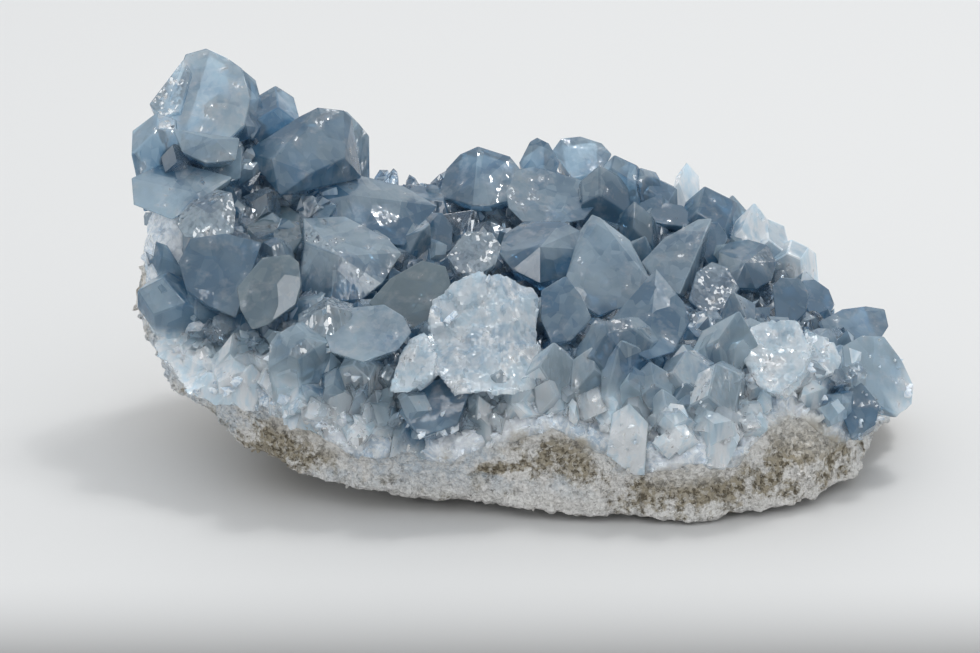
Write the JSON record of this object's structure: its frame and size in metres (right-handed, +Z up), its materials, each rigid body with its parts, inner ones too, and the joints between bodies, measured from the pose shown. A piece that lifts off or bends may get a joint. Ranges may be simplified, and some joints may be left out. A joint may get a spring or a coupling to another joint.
{
  "type": "celestite crystal cluster",
  "caption": "Curved piece of a celestite geode wall: pale blue translucent crystals crowded on a grey-beige rock rind, with a tall horn at one end and a broken front edge.",
  "frame": {"origin": "on the resting plane, under the middle of the piece's box", "axes": "+X along the length, from the tall horn to the low right end; +Y to the back rim; +Z up"},
  "size_m": [0.1184, 0.0728, 0.0577],
  "materials": {
    "rind_stone": "rough, granular, grey-beige with olive-brown specks",
    "celestine": "glassy pale blue crystal faces, milky and sugary towards the broken front edge"
  },
  "bodies": {
    "root": {"matrix": "rind_stone", "crystals": "celestine"}
  },
  "joints": []
}
